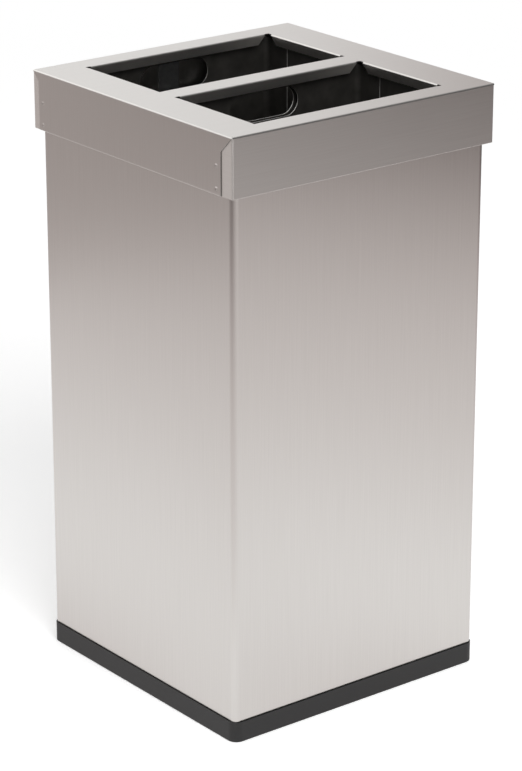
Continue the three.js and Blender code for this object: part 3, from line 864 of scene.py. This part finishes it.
# The cut edges are bare steel, painted lighter than the sheet as a painted highlight, so that they
# show as bright lines in the dark.
bare_edge_painted_highlight = speckled(
    "bare_edge_painted_highlight",
    tones=((0.5, 0.49, 0.47), (0.6, 0.59, 0.57)),
    metallic=0.6,
    gloss=(0.35, 0.5),
    scale=200.0,
    depth=0.00002,
)
for end, middle_y in (("front", -BUCKET_MIDDLE), ("rear", BUCKET_MIDDLE)):
    wall = bucket_wall(end + "_bucket_sheet", middle_y)
    combine(wall, hand_hole_cutter(middle_y), "DIFFERENCE")
    soften(wall, BUCKET_SOFTNESS)
    smooth(wall)
    dress(wall, galvanised_painted_shade, bare_edge_painted_highlight)
    bpy.ops.object.mode_set(mode="EDIT")
    seam_edge = middle_y + SEAM_EDGE
    pick(
        "FACE",
        lambda middle, way: in_hand_hole(middle, way)
        or (middle.x > BUCKET_HALF_X - 2 * SHEET and abs(middle.y - seam_edge) < SHEET / 4),
    )
    wall.active_material_index = 1
    bpy.ops.object.material_slot_assign()
    bpy.ops.object.mode_set(mode="OBJECT")
    stand_for(wall, end + "_bucket_wall", end + "_bucket")
    dress(nodes[end + "_bucket_floor"], galvanised_painted_shade)

# ---- Lid ----
# One sheet of brushed steel, folded down all round. Flanges turn down into the two openings, the
# front and rear skirts wrap round the corners as tabs, and the side skirts are welded over them.

LID_HALF = extent("lid_cover", X)[1]
SKIRT_BOTTOM, LID_TOP = extent("lid_cover", Z)
OPENING_HALF_X, OPENING_HALF_Y = 0.134, 0.071
FLANGE, NOTCH = 0.012, 0.005
FRONT_SHOWN, REAR_SHOWN = 0.020, 0.012
TAB_LAP = 0.016
RELIEF = 0.0003
WELD_YS, WELD_ZS = (-0.162, 0.170), (0.664, 0.690)
WELD_ROOM, WELD_CUTS = 0.004, 15
WELD_CORE, WELD_DEPTH, WELD_REACH = 0.0008, 0.0004, 0.0022
CUT_ROUND, CUT_FACES = 0.0006, 4

flat = LID_HALF - FOLD
fold_end = LID_TOP - FOLD
lid = open_block("lid_sheet", (-flat, -flat, LID_TOP - BLOCK_DEPTH), (flat, flat, LID_TOP))
pick("FACE", lambda middle, way: way.z < ALONG)
bpy.ops.mesh.delete(type="FACE")
for x in (OPENING_HALF_X + FOLD, OPENING_HALF_X - NOTCH):
    score(x, X)
    score(-x, X)
for y in (OPENING_HALF_Y + FOLD, OPENING_HALF_Y - NOTCH):
    for middle_y in (-BUCKET_MIDDLE, BUCKET_MIDDLE):
        score(middle_y + y, Y)
        score(middle_y - y, Y)
pick(
    "FACE",
    lambda middle, way: abs(middle.x) < OPENING_HALF_X + FOLD
    and abs(abs(middle.y) - BUCKET_MIDDLE) < OPENING_HALF_Y + FOLD,
)
bpy.ops.mesh.delete(type="FACE")

leg = FLANGE - FOLD
for middle_y in (-BUCKET_MIDDLE, BUCKET_MIDDLE):
    for side in (-1, 1):
        edge_x = side * (OPENING_HALF_X + FOLD)
        pick(
            "EDGE",
            lambda middle, way: near(middle.x, edge_x)
            and abs(middle.y - middle_y) < OPENING_HALF_Y - NOTCH,
        )
        turn_edge((edge_x, 0, fold_end), (0, 1, 0), -side * quarter, FOLD_STEPS)
        draw_out((0, 0, -leg))
        trim_ends(Y, leg, leg)
        edge_y = middle_y + side * (OPENING_HALF_Y + FOLD)
        pick(
            "EDGE",
            lambda middle, way: near(middle.y, edge_y) and abs(middle.x) < OPENING_HALF_X - NOTCH,
        )
        turn_edge((0, edge_y, fold_end), (1, 0, 0), side * quarter, FOLD_STEPS)
        draw_out((0, 0, -leg))
        trim_ends(X, leg, leg)

front_run, rear_run = FRONT_SHOWN - FOLD, REAR_SHOWN - FOLD
for side in (-1, 1):
    pick("EDGE", lambda middle, way: near(middle.x, side * flat) and near(middle.z, LID_TOP))
    turn_edge((side * flat, 0, fold_end), (0, 1, 0), side * quarter, FOLD_STEPS)
    draw_out((0, 0, -rear_run))
    trim_ends(Y, rear_run, rear_run)
    draw_out((0, 0, rear_run - front_run))
    trim_ends(Y, front_run - rear_run, 0)
    draw_out((0, 0, SKIRT_BOTTOM - fold_end + front_run))
for side, shown in ((-1, FRONT_SHOWN), (1, REAR_SHOWN)):
    pick(
        "EDGE",
        lambda middle, way: near(middle.y, side * flat)
        and near(middle.z, LID_TOP)
        and abs(way.x) > ALONG,
    )
    turn_edge((0, side * flat, fold_end), (1, 0, 0), -side * quarter, FOLD_STEPS)
    draw_out((0, 0, -RELIEF))
    trim_ends(X, SHEET, SHEET)
    draw_out((0, 0, SKIRT_BOTTOM - fold_end + RELIEF))
    for end in (-1, 1):
        bend_x = end * (flat - SHEET)
        pick(
            "EDGE",
            lambda middle, way: near(middle.x, bend_x)
            and near(middle.y, side * LID_HALF)
            and along_z(middle, way),
        )
        turn_edge((bend_x, side * flat, 0), (0, 0, 1), -end * side * quarter, FOLD_STEPS)
        draw_out((0, -side * (shown + TAB_LAP - FOLD), 0))
        pick(
            "EDGE",
            lambda middle, way: abs(middle.x) > flat
            and near(middle.y, side * flat)
            and middle.x * end > 0
            and middle.z > fold_end
            and abs(way.y) < ACROSS,
        )
        turn_edge((end * flat, side * flat, 0), (0, 0, 1), end * side * quarter, FOLD_STEPS)

weld_spots = [(side, y, z) for side in (-1, 1) for y in WELD_YS for z in WELD_ZS]
for side, y, z in weld_spots:
    skirt = side * LID_HALF
    for spot, axis in ((y, Y), (z, Z)):
        for place in (spot - WELD_ROOM, spot + WELD_ROOM):
            score(place, axis, lambda middle, way: near(middle.x, skirt))
    pick(
        "FACE",
        lambda middle, way: near(middle.x, skirt)
        and abs(middle.y - y) < WELD_ROOM
        and abs(middle.z - z) < WELD_ROOM,
    )
    bpy.ops.mesh.subdivide(number_cuts=WELD_CUTS)
    pick(
        "VERT",
        lambda point, way: near(point.x, skirt)
        and math.hypot(point.y - y, point.z - z) < WELD_CORE,
    )
    bpy.ops.transform.translate(
        value=(-side * WELD_DEPTH, 0, 0),
        use_proportional_edit=True,
        proportional_edit_falloff="SMOOTH",
        proportional_size=WELD_REACH,
    )
close_edit()
thicken(lid, -1)


def on_outer_rim(middle, way):
    """The outer edges of the skirts' lower cuts."""
    if not near(middle.z, SKIRT_BOTTOM) or abs(way.z) >= ACROSS:
        return False
    round_corner = math.hypot(max(abs(middle.x) - flat + SHEET, 0), abs(middle.y) - flat)
    on_end_skirt = abs(middle.y) > flat + DOUBLED and round_corner > FOLD - CLOSE
    return abs(middle.x) > LID_HALF - TOUCH or on_end_skirt


bpy.ops.object.mode_set(mode="EDIT")
pick("EDGE", on_outer_rim)
round_edges(CUT_ROUND, CUT_FACES)
bpy.ops.object.mode_set(mode="OBJECT")
soften(lid, CUT_SOFTNESS)

# Softening moves a few points past the lid's front, rear and top, which are pressed flat again.
bpy.ops.object.mode_set(mode="EDIT")
for axis, side, place in ((Y, -1, LID_HALF), (Y, 1, LID_HALF), (Z, 1, LID_TOP)):
    pick("VERT", lambda point, way: point[axis] * side > place + DOUBLED)
    plane = [0, 0, 0]
    plane[axis] = place * side
    factor = [1, 1, 1]
    factor[axis] = 0
    bpy.ops.transform.resize(value=factor, center_override=plane)
bpy.ops.object.mode_set(mode="OBJECT")
smooth(lid)

# The tabs' outer faces lie between the first two places, and the side skirts' cut ends beyond the
# third. A face turned 45 degrees still counts as facing an axis.
TAB_SKIN = LID_HALF - 1.9 * SHEET, LID_HALF - 0.5 * SHEET
CUT_SKIN = LID_HALF - 0.9 * SHEET
FACING, CUT_FACING = 0.7, 0.6


def on_wrapped_sheet(middle, way):
    """The front and rear skirts, and the outer sides of the tabs."""
    on_tab = TAB_SKIN[0] < abs(middle.x) < TAB_SKIN[1] and middle.z < fold_end
    return abs(way.y) > FACING or (on_tab and abs(way.x) > FACING)


def on_front_cut(middle, way):
    """The side skirts' cut ends that face the front."""
    on_side_skirt = abs(middle.x) > CUT_SKIN and abs(middle.y) < flat and middle.z < fold_end
    return on_side_skirt and abs(way.x) < ACROSS and way.y < -CUT_FACING


# The side skirts' front-facing cut ends are painted dark: a painted shadow of the gap between each
# skirt and the tab under it.
cut_edge_painted_shadow = speckled(
    "cut_edge_painted_shadow",
    tones=((0.1, 0.095, 0.09), (0.16, 0.155, 0.15)),
    metallic=0.8,
    gloss=(0.5, 0.6),
    scale=300.0,
    depth=0.00002,
)
dress(
    lid,
    brushed_steel("top_grain_steel", (LONG_GRAIN, FINE_GRAIN, LONG_GRAIN), (0, 1, 0)),
    brushed_steel("skirt_grain_steel", (LONG_GRAIN, LONG_GRAIN, FINE_GRAIN), (0, 0, 1)),
    cut_edge_painted_shadow,
)
bpy.ops.object.mode_set(mode="EDIT")
for finish, wanted in ((1, on_wrapped_sheet), (2, on_front_cut)):
    pick("FACE", wanted)
    lid.active_material_index = finish
    bpy.ops.object.material_slot_assign()
bpy.ops.object.mode_set(mode="OBJECT")
stand_for(lid, "lid_cover", "lid")
for name, node in nodes.items():
    if name.startswith("lid_locator"):
        dress(node, zinc_plate)
